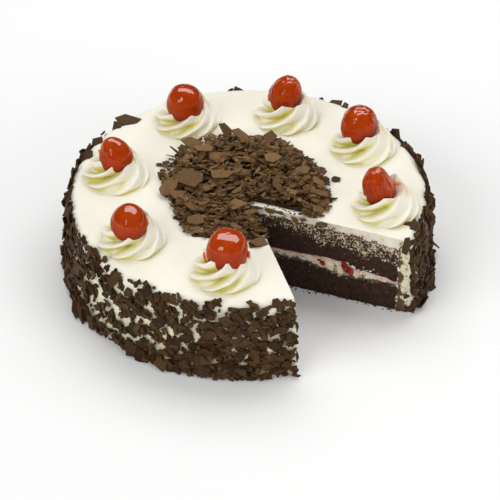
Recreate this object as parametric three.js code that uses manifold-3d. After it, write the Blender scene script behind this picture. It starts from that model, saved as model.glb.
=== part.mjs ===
// A black forest cake with one slice taken out, in millimetres, +Z up, standing on z = 0 with its centre on the Z axis.
// Two domed layers of dark sponge hold a layer of cream and a thin layer of cherry preserve between them. A coat of
// cream covers the top and the side, chocolate flakes cover the side of the coat, and a flat heap of chocolate
// shavings lies in the middle of the top. Round the heap stand seven piped cream rosettes, each with a cherry.
import * as THREE from "three";
import { mergeVertices } from "three/addons/utils/BufferGeometryUtils.js";
import Module from "manifold-3d";

const wasm = await Module();
wasm.setup();

// ---- Driving dimensions -------------------------------------------------------------------------------------------

const SPONGE_RADIUS = 101;
const CREAM_FOOT_RADIUS = 109; // outside of the cream coat where it stands
const CREAM_RIM_RADIUS = 107.5; // and just under its rounded rim
const CREAM_TOP = 54; // height of the flat top
const RIM_ROUNDING = 5;

// Heights of the layers at the edge of the sponge, and how much each is higher in the middle.
const LOWER_SPONGE_TOP = { edge: 17, dome: 4.5 };
const FILLING_CREAM_TOP = { edge: 21.5, dome: 4 };
const CHERRY_FILLING_TOP = { edge: 23, dome: 4 };
const UPPER_SPONGE_TOP = { edge: 45.5, dome: 6 };

const FLAKE_COAT_DEPTH = 4.6; // how far the flakes stand out from the cream
const FLAKE_COAT_TOP = 50;
const FLAKE_RELIEF = 1.3; // unevenness of the flakes' outline, each way
const FLAKE_EDGE_RELIEF = 2.4; // and of their upper edge

const HEAP_REACH = [52, 45, 50, 58, 56, 54, 57, 57]; // from the axis to the heap's edge, every 45 degrees from +X
const HEAP_HEIGHT = 7;
const HEAP_RELIEF = 1.2;
const HEAP_EDGE_RELIEF = 2;

// The slice was cut out by two upright cuts that meet a little short of the cake's centre.
const CUT_TIP = new THREE.Vector2(4.3, -14.1);
const CUT_FROM = -60.5; // degrees
const CUT_TO = -7.5;

const ROSETTE_RADIUS = 21.5;
const ROSETTE_HEIGHT = 14;
const ROSETTE_MOUTH_RADIUS = 13; // to the points of the star at the top, where the nozzle let go
const ROSETTE_TWIST = 66; // degrees that the star turns from foot to top
const NOZZLE_TEETH = 8;

// Each portion's rosette: the angle and distance at which it stands, and how far its star is turned. Then its cherry:
// width, height, how high its middle is above the flat top, how far it has slipped off the rosette's middle, and its
// lean in degrees with the way it leans.
const PORTIONS = [
  { angle: 0.8, ring: 84, turn: 12, cherry: { width: 18.8, height: 25, rise: 17, slip: [-4.2, -0.9], lean: 10, towards: 193 } },
  { angle: 44.3, ring: 81.8, turn: -11, cherry: { width: 21, height: 24.6, rise: 17, slip: [-3, 0.4], lean: 6, towards: 13 } },
  { angle: 85.2, ring: 78.4, turn: -17, cherry: { width: 19.6, height: 25, rise: 17, slip: [-2, 1], lean: 20, towards: 13 } },
  { angle: 130.7, ring: 80.5, turn: -14, cherry: { width: 21.4, height: 24.6, rise: 15.6, slip: [-0.4, -2.4], lean: 9, towards: 193 } },
  { angle: 182.1, ring: 81.1, turn: -5, cherry: { width: 19.4, height: 24, rise: 17, slip: [0.8, -1.1], lean: 14, towards: 193 } },
  { angle: 227.9, ring: 83.5, turn: 3, cherry: { width: 21.4, height: 23, rise: 16, slip: [-0.4, -2.9], lean: 3, towards: 193 } },
  { angle: 273.5, ring: 80.6, turn: -6, cherry: { width: 23, height: 23.4, rise: 17, slip: [0.8, 2], lean: 4, towards: 13 } },
];

const SEAM = 0.3; // room between two pieces that touch along a curved or cut face
const ROUND_SEGMENTS = 40;
const COAT_SEGMENTS = 80;

const radians = THREE.MathUtils.degToRad;
const polar = (radius, degrees) =>
  new THREE.Vector2(radius * Math.cos(radians(degrees)), radius * Math.sin(radians(degrees)));

// ---- Ways of making the solids ------------------------------------------------------------------------------------

// A solid of revolution about Z, from a profile of [radius, height] pairs.
function turned(profile, segments = ROUND_SEGMENTS) {
  const points = profile.map(([radius, height]) => new THREE.Vector2(radius, height));
  return new THREE.LatheGeometry(points, segments).rotateX(Math.PI / 2);
}

// Moves every vertex to where the function puts its radius, angle and height.
function warped(geometry, move) {
  const position = geometry.getAttribute("position");
  for (let i = 0; i < position.count; i++) {
    const [x, y, z] = [position.getX(i), position.getY(i), position.getZ(i)];
    const [radius, angle, height] = move(Math.hypot(x, y), Math.atan2(y, x), z);
    position.setXYZ(i, radius * Math.cos(angle), radius * Math.sin(angle), height);
  }
  return geometry;
}

function solid(geometry) {
  const bare = geometry.clone();
  bare.deleteAttribute("normal");
  bare.deleteAttribute("uv");
  const merged = mergeVertices(bare, 1e-3);
  return new wasm.Manifold(
    new wasm.Mesh({
      numProp: 3,
      vertProperties: merged.getAttribute("position").array,
      triVerts: new Uint32Array(merged.index.array),
    }),
  );
}

function geometryOf(manifold) {
  const mesh = manifold.getMesh();
  return new THREE.BufferGeometry()
    .setAttribute("position", new THREE.BufferAttribute(mesh.vertProperties, 3))
    .setIndex(new THREE.BufferAttribute(mesh.triVerts, 1));
}

// The prism that the two cuts take out of everything round the slice.
function sliceCutter() {
  const reach = 3 * CREAM_FOOT_RADIUS;
  const outline = new THREE.Shape([
    CUT_TIP,
    polar(reach, CUT_FROM).add(CUT_TIP),
    polar(reach, CUT_TO).add(CUT_TIP),
  ]);
  const depth = 2 * CREAM_TOP;
  const prism = new THREE.ExtrudeGeometry(outline, { depth, bevelEnabled: false });
  return solid(prism.translate(0, 0, -CREAM_TOP / 2));
}

const slice = sliceCutter();
const withoutSlice = (geometry) => geometryOf(solid(geometry).subtract(slice));

// A lumpy unevenness from -1 to 1 over two directions, each given as an angle that repeats every full turn.
const lumps = (u, v) => Math.sin(u + 1.7 * Math.sin(v)) * Math.cos(v + 1.3 * Math.sin(u));

// ---- Materials ----------------------------------------------------------------------------------------------------

const finish = (color, roughness) => new THREE.MeshStandardMaterial({ color, roughness, metalness: 0 });
const SPONGE = finish(0x2a1a14, 0.95);
const CREAM = finish(0xf3ecdc, 0.55);
const PRESERVE = finish(0x8a1830, 0.3);
const CHOCOLATE = finish(0x4a3021, 0.6);
const CHERRY = finish(0xa81c0c, 0.12);

const cake = new THREE.Group();
function add(name, geometry, material) {
  const mesh = new THREE.Mesh(geometry, material);
  mesh.name = name;
  cake.add(mesh);
}

// ---- Sponge layers and what lies between them ---------------------------------------------------------------------

// Where a domed face is measured, as shares of the way from the axis to its edge.
const DOME_STATIONS = [0, 0.6, 1];
const domed = ({ edge, dome }, lift = 0) =>
  DOME_STATIONS.map((share) => [share * SPONGE_RADIUS, edge + dome * (1 - share * share) + lift]);

function layer(name, under, over, material) {
  const foot = under ? domed(under, SEAM) : domed({ edge: 0, dome: 0 });
  add(name, withoutSlice(turned([...foot, ...domed(over).reverse()])), material);
}

layer("sponge_lower", null, LOWER_SPONGE_TOP, SPONGE);
layer("filling_cream", LOWER_SPONGE_TOP, FILLING_CREAM_TOP, CREAM);
layer("filling_cherry", FILLING_CREAM_TOP, CHERRY_FILLING_TOP, PRESERVE);
layer("sponge_upper", CHERRY_FILLING_TOP, UPPER_SPONGE_TOP, SPONGE);

// ---- Cream coat: one piece over the top and down the side ---------------------------------------------------------

function creamCoat() {
  const rounding = [0, 30, 60, 90].map((degrees) => [
    CREAM_RIM_RADIUS - RIM_ROUNDING * (1 - Math.cos(radians(degrees))),
    CREAM_TOP - RIM_ROUNDING * (1 - Math.sin(radians(degrees))),
  ]);
  const inside = domed(UPPER_SPONGE_TOP, SEAM);
  inside.at(-1)[0] += SEAM; // clear of the sponge's edge
  return turned([...inside, [SPONGE_RADIUS + SEAM, 0], [CREAM_FOOT_RADIUS, 0], ...rounding, [0, CREAM_TOP]]);
}
add("cream_coat", withoutSlice(creamCoat()), CREAM);

// ---- Chocolate flakes on the side: a ring out to their uneven outline ---------------------------------------------

const COAT_LUMPS_ROUND = 29; // lumps in a full turn
const COAT_LUMPS_UP = 2.6; // and from the foot to the top

function flakeCoat() {
  const clearance = 2 * SEAM; // the flat sides of the two rings differ
  const foot = CREAM_FOOT_RADIUS + clearance;
  const rim = CREAM_RIM_RADIUS + clearance;
  const outside = [0, 0.2, 0.4, 0.6, 0.8, 1].map((share) => [
    foot + (rim - foot) * share + FLAKE_COAT_DEPTH,
    share * (FLAKE_COAT_TOP - 1),
  ]);
  const lip = [rim + FLAKE_COAT_DEPTH / 2, FLAKE_COAT_TOP];
  const ring = turned([[foot, 0], ...outside, lip, [rim, FLAKE_COAT_TOP - 2], [foot, 0]], COAT_SEGMENTS);
  return warped(ring, (radius, angle, height) => {
    const rise = height / FLAKE_COAT_TOP;
    const relief = lumps(COAT_LUMPS_ROUND * angle, 2 * Math.PI * COAT_LUMPS_UP * rise);
    const isOutside = radius > foot + SEAM;
    return [
      isOutside ? radius + FLAKE_RELIEF * relief : radius,
      angle,
      rise > 0.9 ? height + FLAKE_EDGE_RELIEF * relief : height,
    ];
  });
}
add("flake_coat", withoutSlice(flakeCoat()), CHOCOLATE);

// ---- Heap of shavings in the middle of the top --------------------------------------------------------------------

const HEAP_LUMP = 15; // from one lump of the heap to the next
const HEAP_EDGE_LUMPS = 23; // round its edge

function heap() {
  const reach = new THREE.CatmullRomCurve3(HEAP_REACH.map((r) => new THREE.Vector3(r, 0, 0)), true);
  const outline = (angle) => reach.getPoint(THREE.MathUtils.euclideanModulo(angle / (2 * Math.PI), 1)).x;
  // A unit heap: radius 1 out to its edge, rounded down to the cream.
  const profile = [[0, 0], [0.98, 0], [1, 0.25], [0.94, 0.68], [0.8, 0.9], [0.6, 1], [0.4, 1], [0.2, 1], [0, 1]];
  return warped(turned(profile, COAT_SEGMENTS / 2), (share, angle, rise) => {
    const edge = outline(angle) + HEAP_EDGE_RELIEF * lumps(HEAP_EDGE_LUMPS * angle, angle);
    const radius = share * edge;
    const turnsPerMm = (2 * Math.PI) / HEAP_LUMP;
    const relief = lumps(turnsPerMm * radius * Math.cos(angle), turnsPerMm * radius * Math.sin(angle));
    return [radius, angle, CREAM_TOP + HEAP_HEIGHT * rise + (rise > 0.5 ? HEAP_RELIEF * relief : 0)];
  });
}
add("shavings_heap", withoutSlice(heap()), CHOCOLATE);

// ---- Rosettes: a star of cream that turns as it rises, with a pocket where the cherry sits ------------------------

const TOOTH_SEGMENTS = 4;
const FOOT_GROOVE = 0.16; // depth of the grooves between the teeth, as a share of the radius
const MOUTH_GROOVE = 0.3;

function rosette(turn) {
  const spread = (share) => THREE.MathUtils.lerp(ROSETTE_RADIUS, ROSETTE_MOUTH_RADIUS, share ** 1.4);
  const flank = [0.12, 0.4, 0.7, 1].map((share) => [spread(share), share * ROSETTE_HEIGHT]);
  const foot = [0.92 * ROSETTE_RADIUS, 0];
  const pocket = [0.55 * ROSETTE_MOUTH_RADIUS, 0.8 * ROSETTE_HEIGHT];
  const star = turned([[0, 0], foot, ...flank, pocket, [0, 0.7 * ROSETTE_HEIGHT]], NOZZLE_TEETH * TOOTH_SEGMENTS);
  return warped(star, (radius, angle, height) => {
    const share = height / ROSETTE_HEIGHT;
    const groove = (1 - Math.cos(NOZZLE_TEETH * angle)) / 2; // 0 along a tooth, 1 between two
    const depth = radius > pocket[0] ? THREE.MathUtils.lerp(FOOT_GROOVE, MOUTH_GROOVE, share) : 0;
    return [radius * (1 - depth * groove), angle + radians(turn + ROSETTE_TWIST * share), height];
  });
}

// ---- Cherries: slightly egg-shaped, with a dimple where the stalk was ---------------------------------------------

const CHERRY_SEGMENTS = 12;
const CHERRY_STATIONS = [0, 25, 50, 75, 100, 125, 150, 167, 180]; // degrees from the lower end
const DIMPLE_DEPTH = 0.08; // as a share of half the cherry's height
const DIMPLE_SPREAD = 16; // degrees

function cherryShape(width, height) {
  const profile = CHERRY_STATIONS.map((degrees) => {
    const dimple = DIMPLE_DEPTH * Math.exp(-(((180 - degrees) / DIMPLE_SPREAD) ** 2));
    const fullness = 1 - 0.06 * Math.cos(radians(degrees));
    return [(width / 2) * Math.sin(radians(degrees)) * fullness, (-height / 2) * (Math.cos(radians(degrees)) + dimple)];
  });
  profile[0][0] = profile.at(-1)[0] = 0;
  return turned(profile, CHERRY_SEGMENTS);
}

PORTIONS.forEach(({ angle, ring, turn, cherry }, i) => {
  const { x, y } = polar(ring, angle);
  const [slipX, slipY] = cherry.slip;
  const axis = polar(1, cherry.towards + 90);
  const leaning = new THREE.Matrix4()
    .makeRotationAxis(new THREE.Vector3(axis.x, axis.y, 0), radians(cherry.lean))
    .setPosition(x + slipX, y + slipY, CREAM_TOP + cherry.rise);
  const fruit = cherryShape(cherry.width, cherry.height).applyMatrix4(leaning);
  const room = cherryShape(cherry.width + 2 * SEAM, cherry.height + 2 * SEAM).applyMatrix4(leaning);
  const piped = rosette(turn).translate(x, y, CREAM_TOP);
  add(`rosette_${i + 1}`, geometryOf(solid(piped).subtract(solid(room))), CREAM);
  add(`cherry_${i + 1}`, fruit, CHERRY);
});

export default cake;
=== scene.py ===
import math
import random

import bmesh
import bpy
from mathutils import Matrix, Vector, noise
from mathutils.bvhtree import BVHTree


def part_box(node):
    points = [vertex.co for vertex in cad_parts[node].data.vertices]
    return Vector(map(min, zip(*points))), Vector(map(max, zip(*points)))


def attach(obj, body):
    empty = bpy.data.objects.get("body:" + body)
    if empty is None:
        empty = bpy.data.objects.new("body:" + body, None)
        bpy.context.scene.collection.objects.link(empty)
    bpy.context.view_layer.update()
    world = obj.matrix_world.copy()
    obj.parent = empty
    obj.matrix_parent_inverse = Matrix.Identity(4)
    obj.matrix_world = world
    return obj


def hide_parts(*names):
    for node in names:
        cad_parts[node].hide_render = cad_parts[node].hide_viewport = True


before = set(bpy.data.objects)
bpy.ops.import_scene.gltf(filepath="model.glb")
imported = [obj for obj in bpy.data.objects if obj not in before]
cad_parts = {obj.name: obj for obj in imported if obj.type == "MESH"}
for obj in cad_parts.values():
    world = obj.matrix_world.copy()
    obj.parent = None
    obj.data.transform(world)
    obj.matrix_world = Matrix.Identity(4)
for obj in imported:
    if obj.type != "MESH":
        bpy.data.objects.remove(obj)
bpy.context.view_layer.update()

MM = 0.001

# ---- The sponge layers -----------------------------------------------------------------
# Two layers of dark chocolate sponge, baked as one cake and split. The knife that took the slice out has
# torn the crumb open, so both cut faces are rough and pitted, and it has dragged pale cream over the upper
# layer's top band.

SPONGE_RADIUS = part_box("sponge_lower")[1].x
UNEVENNESS = 0.8 * MM  # the room that the lower layer's waves need under the filling
# the height of each surface at the rim and in the middle
LOWER_TOP = (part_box("filling_cream")[0].z - UNEVENNESS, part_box("sponge_lower")[1].z - UNEVENNESS)
UPPER_FOOT = (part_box("filling_cherry")[0].z + 1.5 * MM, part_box("filling_cherry")[1].z)
UPPER_TOP = (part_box("sponge_upper")[1].z - 6 * MM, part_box("sponge_upper")[1].z)
TOUCHING = 0.01 * MM
CRUMB_CELL = 0.75 * MM  # how fine the cut faces are
ARC_CELL = 4 * MM  # how fine the hidden rims are
CRUMB_DEPTH = 0.6  # how rough the torn crumb is, in mm
PIT_DEPTH, PIT_WIDTH = 1.1, 0.42  # how steeply its pits go down, and how much of the crumb they take up


def find_cuts():
    """The missing slice's tip, and the directions of its right and left cuts, from the sponge's foot."""
    foot = [v.co.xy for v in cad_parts["sponge_lower"].data.vertices if v.co.z < TOUCHING]
    tip = min((p for p in foot if p.length > MM), key=lambda p: p.length)
    rim = [p for p in foot if p.length > 0.99 * SPONGE_RADIUS]
    rim.sort(key=lambda p: math.atan2(p.y, p.x))
    left, right = max(zip(rim, rim[1:]), key=lambda pair: (pair[1] - pair[0]).length)
    return tip.copy(), (right - tip).normalized(), (left - tip).normalized()


TIP, RIGHT_CUT, LEFT_CUT = find_cuts()
# each cut's direction, and the way into the gap from it
CUTS = ((RIGHT_CUT, Vector((RIGHT_CUT.y, -RIGHT_CUT.x))), (LEFT_CUT, Vector((-LEFT_CUT.y, LEFT_CUT.x))))
HUB = TIP - 12 * MM * (RIGHT_CUT + LEFT_CUT).normalized()  # a point that sees the whole outline


def reach(direction, radius):
    """How far the rim of that radius is from the tip, along a cut."""
    along = TIP.dot(direction)
    return math.sqrt(along**2 - TIP.length_squared + radius**2) - along


def heading(angle):
    """The level direction at an angle from the x axis."""
    return Vector((math.cos(angle), math.sin(angle), 0))


def outline(radius, cell, arc_cell=ARC_CELL):
    """The cake from above: out along the right cut, round the rim, and back along the left one."""
    ends = [TIP + cut * reach(cut, radius) for cut in (RIGHT_CUT, LEFT_CUT)]
    start, stop = (math.atan2(p.y, p.x) for p in ends)
    turn = (stop - start) % math.tau
    along, round_rim = round((ends[0] - TIP).length / cell), round(turn * radius / arc_cell)
    points = [TIP.lerp(ends[0], i / along) for i in range(along)]
    points += [radius * heading(start + turn * i / round_rim).xy for i in range(round_rim)]
    return points + [ends[1].lerp(TIP, i / along) for i in range(along)]


def grow(bm, edges):
    """Extrudes a ring of edges, and gives the new ring's vertices and edges."""
    grown = bmesh.ops.extrude_edge_only(bm, edges=edges)["geom"]
    verts = [g for g in grown if isinstance(g, bmesh.types.BMVert)]
    ring = set(verts)
    return verts, [g for g in grown if isinstance(g, bmesh.types.BMEdge) and set(g.verts) <= ring]


def stand_up(points, levels, shares):
    """A closed solid on an outline, from 0 at its foot to 1 at its top. Ever smaller rings close its ends."""
    bm = bmesh.new()
    loop = [bm.verts.new((*p, 0)) for p in points]
    rim = [bm.edges.new(pair) for pair in zip(loop, loop[1:] + loop[:1])]

    def close(edges):
        before = 1
        for share in shares:
            verts, edges = grow(bm, edges)
            size = share / before
            bmesh.ops.scale(bm, vec=(size, size, 1), space=Matrix.Translation(-HUB.to_3d()), verts=verts)
            before = share
        centre = sum((v.co for v in verts), Vector()) / len(verts)
        bmesh.ops.pointmerge(bm, verts=verts, merge_co=centre)

    close(rim)
    edges = rim
    for _ in range(levels):
        verts, edges = grow(bm, edges)
        bmesh.ops.translate(bm, vec=(0, 0, 1 / levels), verts=verts)
    close(edges)
    bmesh.ops.recalc_face_normals(bm, faces=bm.faces)
    return bm


def set_heights(bm, foot, top):
    """Gives each vertex its real height between two surfaces, each a function of the place."""
    for v in bm.verts:
        low = foot(v.co.x, v.co.y)
        v.co.z = low + v.co.z * (top(v.co.x, v.co.y) - low)


def ripple(p, size):
    """Smooth noise from about -1 to 1, with features of a size in millimetres."""
    return noise.noise(p / (size * MM))


def dome(heights, waviness, seed):
    """A surface that is higher in the middle, as sponge rises, and uneven, as it is split by hand."""
    edge, middle = heights

    def surface(x, y):
        here = Vector((x, y, seed * 10 * MM))
        swell = ripple(here, 16) + 0.5 * ripple(here, 6) + 0.25 * ripple(here, 2.5)
        fall = min(1, (x * x + y * y) / SPONGE_RADIUS**2)
        return edge + (middle - edge) * (1 - fall) + waviness * swell

    return surface


def on_cut(point):
    """Which cut face a point lies on, how far out from the tip, and the way into the gap, or None."""
    from_tip = point.xy - TIP
    for number, (direction, into_gap) in enumerate(CUTS):
        if abs(from_tip.dot(into_gap)) < TOUCHING and from_tip.dot(direction) > -TOUCHING:
            return number, from_tip.dot(direction), into_gap
    return None


def tear(bm, relief):
    """Moves the cut faces in and out by a relief, given in millimetres."""
    moves = []
    for v in bm.verts:
        cut = on_cut(v.co)
        if cut:
            moves.append((v, cut[2] * relief(v.co / MM) * MM))
    for v, move in moves:
        v.co.xy += move


def crumb_relief(p):
    """Open crumb: fine roughness, with pits where bubbles were cut through."""
    pit = noise.voronoi(p / 3.1)[0][0]
    rough = noise.fractal(p / 2.4, 0.6, 2.2, 4)
    return CRUMB_DEPTH * rough - PIT_DEPTH * max(0, PIT_WIDTH - pit) + 0.35 * noise.noise(p / 9)


def clamp(amount):
    return max(0, min(1, amount))


def paint(bm, name, amount):
    """Stores an amount from 0 to 1 on each vertex, for a material to read."""
    layer = bm.verts.layers.float.new(name)
    for v in bm.verts:
        v[layer] = clamp(amount(v.co))


def new_material(name, **settings):
    """A material with one Principled shader, and its settings put straight on the shader's sockets."""
    made = bpy.data.materials.new(name)
    made.use_nodes = True
    for socket, value in settings.items():
        made.node_tree.nodes["Principled BSDF"].inputs[socket.replace("_", " ")].default_value = value
    return made


def node(material, kind, inputs=(), **properties):
    """A node in a material. An input is a value, or the output that feeds it."""
    made = material.node_tree.nodes.new("ShaderNode" + kind)
    for name, value in properties.items():
        setattr(made, name, value)
    for socket, value in dict(inputs).items():
        if isinstance(value, bpy.types.NodeSocket):
            material.node_tree.links.new(value, made.inputs[socket])
        else:
            made.inputs[socket].default_value = value
    return made


def place(material):
    return node(material, "TexCoord").outputs["Object"]


def speckle(material, size, detail=3.0, rough=0.6, stretch=None):
    """Noise with features of a given size in metres, from 0 to 1."""
    where = place(material)
    if stretch:
        where = node(material, "Mapping", {"Vector": where, "Scale": stretch}).outputs["Vector"]
    settings = {"Vector": where, "Scale": 1 / size, "Detail": detail, "Roughness": rough}
    return node(material, "TexNoise", settings).outputs["Fac"]


def ramp(material, amount, *stops):
    """Colours along an amount: each stop is where it lies and its colour or grey."""
    made = node(material, "ValToRGB", {"Fac": amount})
    elements = made.color_ramp.elements
    while len(elements) < len(stops):
        elements.new(0.5)
    for element, (where, colour) in zip(elements, stops):
        element.position = where
        element.color = (*colour, 1) if isinstance(colour, tuple) else (colour, colour, colour, 1)
    return made.outputs["Color"]


def blend(material, amount, first, second, kind="MIX"):
    made = node(material, "Mix", data_type="RGBA", blend_type=kind)
    for socket, value in ((0, amount), (6, first), (7, second)):
        if isinstance(value, bpy.types.NodeSocket):
            material.node_tree.links.new(value, made.inputs[socket])
        else:
            made.inputs[socket].default_value = (*value, 1) if isinstance(value, tuple) else value
    return made.outputs[2]


def maths(material, operation, first, second=0.0):
    made = node(material, "Math", {0: first, 1: second}, operation=operation)
    return made.outputs[0]


def wire(material, **sockets):
    """Feeds outputs into the material's shader."""
    shader = material.node_tree.nodes["Principled BSDF"]
    for socket, output in sockets.items():
        material.node_tree.links.new(output, shader.inputs[socket.replace("_", " ")])


def bump(material, height, depth, strength=1.0):
    made = node(material, "Bump", {"Height": height, "Distance": depth, "Strength": strength})
    return made.outputs["Normal"]


def stored(material, name):
    return node(material, "Attribute", attribute_name=name).outputs["Fac"]


def as_object(name, bm):
    mesh = bpy.data.meshes.new(name)
    bm.to_mesh(mesh)
    bm.free()
    made = bpy.data.objects.new(name, mesh)
    bpy.context.scene.collection.objects.link(made)
    return made


def show(name, bm, material, slot, *nodes, sharp=None):
    """Makes a finished piece from a bmesh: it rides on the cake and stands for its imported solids."""
    piece = as_object(name, bm)
    mesh = piece.data
    mesh.polygons.foreach_set("use_smooth", [True] * len(mesh.polygons))
    if sharp:
        mesh.set_sharp_from_angle(angle=math.radians(sharp))
    mesh.materials.append(material)
    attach(piece, "root")
    if nodes:
        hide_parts(*nodes)
    return piece


def sponge_material():
    """Almost black cocoa crumb, with lighter crumbs that are partly painted highlight on the crumb's raised
    points, and, where cream was dragged over it, pale flecks.
    """
    made = new_material("dark_sponge", Roughness=0.9, Specular_IOR_Level=0.25)
    coarse, fine = speckle(made, 3 * MM), speckle(made, 0.7 * MM, rough=0.75)
    cocoa = ramp(made, coarse, (0.3, (0.022, 0.0105, 0.008)), (0.7, (0.054, 0.025, 0.016)))
    # partly painted highlight: the crumb is painted lighter where the bump's noise stands highest
    crumb = ramp(made, fine, (0.52, 0.0), (0.66, 1.0))
    crumb_tone_and_highlight = blend(made, maths(made, "MULTIPLY", crumb, 0.45), cocoa, (0.18, 0.10, 0.055))
    fine_cream = maths(made, "MULTIPLY", speckle(made, 1.15 * MM, 3.0, 0.65), 2.0)
    fleck = maths(made, "SUBTRACT", maths(made, "ADD", fine_cream, stored(made, "dragged")), 1.5)
    shown = ramp(made, maths(made, "MULTIPLY", fleck, 3.6), (0.0, 0.0), (0.9, 1.0))
    wire(made, Base_Color=blend(made, shown, crumb_tone_and_highlight, (0.74, 0.63, 0.43)))
    wire(made, Normal=bump(made, fine, 0.5 * MM))
    return made


SPONGE = sponge_material()
INNER_RINGS = (0.93, 0.7, 0.4, 0.12)  # the rings that close a layer's top and foot, as shares of its outline

# the layers were squeezed unevenly beside the right cut: how far out from the tip, then the heights there
# of the lower sponge's top and of the upper sponge's foot, in mm
SQUEEZED = (
    (-20, 20, 26.5), (22, 21.5, 27.2), (36, 21, 27.7), (48, 19, 28), (57, 16.4, 27.5), (62, 16.4, 27),
    (68, 17, 23.8), (78, 17.8, 23.8), (86, 19.2, 23), (91, 19, 21.6), (120, 19, 21.2),
)
SQUEEZE_REACH = 12 * MM


def squeezed(surface, column):
    """The same surface, following those heights beside the right cut."""
    def followed(x, y):
        from_tip = Vector((x, y)) - TIP
        out, off = from_tip.dot(RIGHT_CUT) / MM, abs(from_tip.dot(CUTS[0][1]))
        if off > SQUEEZE_REACH or not SQUEEZED[0][0] < out < SQUEEZED[-1][0]:
            return surface(x, y)
        before, after = next((a, b) for a, b in zip(SQUEEZED, SQUEEZED[1:]) if a[0] <= out <= b[0])
        there = before[column] + (after[column] - before[column]) * (out - before[0]) / (after[0] - before[0])
        ragged = 0.5 * ripple(Vector((x, y, column)), 2.5)
        share = 1 - off / SQUEEZE_REACH
        return surface(x, y) * (1 - share) + (there + ragged) * MM * share
    return followed


lower_top = squeezed(dome(LOWER_TOP, 1.3 * MM, 1), 1)
upper_foot = squeezed(dome(UPPER_FOOT, 1.2 * MM, 2), 2)
upper_top = dome(UPPER_TOP, 0.8 * MM, 3)


def flat(height):
    return lambda x, y: height


def dragged_over(p):
    """How much cream the knife left on the upper sponge: a band under the top, most of it towards the rim."""
    cut = on_cut(p)
    if not cut:
        return 0
    out = min(1, cut[1] / (70 * MM))
    below = upper_top(p.x, p.y) - p.z
    band = (8 * MM + 6 * MM * out) * (1 + 0.5 * ripple(p, 9))
    if below > band:
        return 0.12 + 0.14 * ripple(p, 5)
    return 0.31 + (0.14 + 0.16 * out) * (1 - below / band) ** 0.6 + 0.20 * ripple(p, 4)


def rubbed_on(p):
    """How much cream the knife left on the lower sponge: only just under the filling."""
    below = (lower_top(p.x, p.y) - p.z) / MM
    return 0.12 + 0.34 * math.exp(-max(0, below) / 2) + 0.12 * ripple(p, 5) if on_cut(p) else 0


def wavy_rim(bm):
    """The sponge's rim was trimmed by hand, so it wanders in and out a little."""
    for v in bm.verts:
        if abs(v.co.xy.length - SPONGE_RADIUS) < 0.9 * MM and v.co.z > -0.5 * MM:
            v.co.xy *= 1 + 0.022 * ripple(v.co, 8) - 0.006


def sponge_layer(name, foot, top, cad_node, seed):
    """One layer, torn open at its cut faces and uneven at its rim."""
    levels = round((top(0, 0) - foot(0, 0)) / CRUMB_CELL)
    bm = stand_up(outline(SPONGE_RADIUS, CRUMB_CELL), levels, INNER_RINGS)
    set_heights(bm, foot, top)
    paint(bm, "dragged", dragged_over if cad_node == "sponge_upper" else rubbed_on)
    tear(bm, lambda p: crumb_relief(p + Vector((0, 0, seed))))
    wavy_rim(bm)
    return show(name, bm, SPONGE, "sponge", cad_node)


sponge_layer("lower_sponge", flat(0), lower_top, "sponge_lower", 0)
sponge_layer("upper_sponge", upper_foot, upper_top, "sponge_upper", 40)

# ---- The filling -----------------------------------------------------------------------
# Whipped cream spread on the lower sponge, with a thin layer of cherry preserve over it that has stained
# the cream pink. At the cut the knife has smeared it a little and pulled dark crumbs into it.

FILLING_CELL = 0.8 * MM


def filling_top(x, y):
    """The cream's top, always a little under the upper sponge, so that some preserve fits in between."""
    return upper_foot(x, y) - MM * (0.8 + 0.5 * ripple(Vector((x, y, 0)), 12))


def filling_relief(p):
    """Smeared cream and preserve: lumpy, and pressed back a little from the sponge's face."""
    return 0.35 * noise.fractal(p / 3, 0.8, 2, 3) + 0.25 * noise.noise(p / 9) - 0.1


def crumb_specks(material, size, sharpness, full):
    """Specks of a size, that cover more where there are more crumbs."""
    amount = maths(material, "ADD", speckle(material, size, 3.0, 0.7), stored(material, "crumbs"))
    sharpened = maths(material, "MULTIPLY", maths(material, "SUBTRACT", amount, 1.0), sharpness)
    return ramp(material, sharpened, (0.0, 0.0), (full, 1.0))


def filling_material():
    made = new_material("filling_cream", Roughness=0.5, Subsurface_Weight=0.2, Subsurface_Scale=1.5 * MM,
                        Subsurface_Radius=(1.0, 0.8, 0.5))
    crumbs = crumb_specks(made, 1.1 * MM, 5.0, 0.8)
    shaded = ramp(made, speckle(made, 4 * MM), (0.35, (0.78, 0.69, 0.45)), (0.65, (0.90, 0.85, 0.66)))
    cream = blend(made, crumbs, shaded, (0.10, 0.055, 0.035))
    wire(made, Base_Color=blend(made, stored(made, "stained"), cream, (0.78, 0.42, 0.39)))
    wire(made, Normal=bump(made, speckle(made, 1.5 * MM), 0.3 * MM))
    return made


def preserve_material():
    made = new_material("cherry_preserve", Roughness=0.22, Coat_Weight=0.4, Subsurface_Weight=0.15,
                        Subsurface_Scale=2 * MM)
    red = ramp(made, speckle(made, 4 * MM), (0.35, (0.16, 0.012, 0.02)), (0.65, (0.42, 0.08, 0.10)))
    wire(made, Base_Color=blend(made, stored(made, "milky"), red, (0.85, 0.60, 0.55)))
    wire(made, Normal=bump(made, speckle(made, 2 * MM), 0.3 * MM))
    return made


def stain(p):
    """Preserve soaks down into the cream from above, farther down towards the rim."""
    depth = (1.2 + 2.4 * min(1, p.xy.length / SPONGE_RADIUS)) * MM
    return 0.9 - (filling_top(p.x, p.y) - p.z) / depth + 0.5 * ripple(p, 5)


def filling_crumbs(p):
    """Crumbs cling to the filling's edges, most of them to its lower one."""
    low, high = (p.z - lower_top(p.x, p.y)) / MM, (filling_top(p.x, p.y) - p.z) / MM
    at_edges = 0.34 * math.exp(-max(0, low) / 1.5) + 0.10 * math.exp(-max(0, high) / 0.8)
    return 0.42 + at_edges + 0.26 * ripple(p, 3.5)


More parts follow.
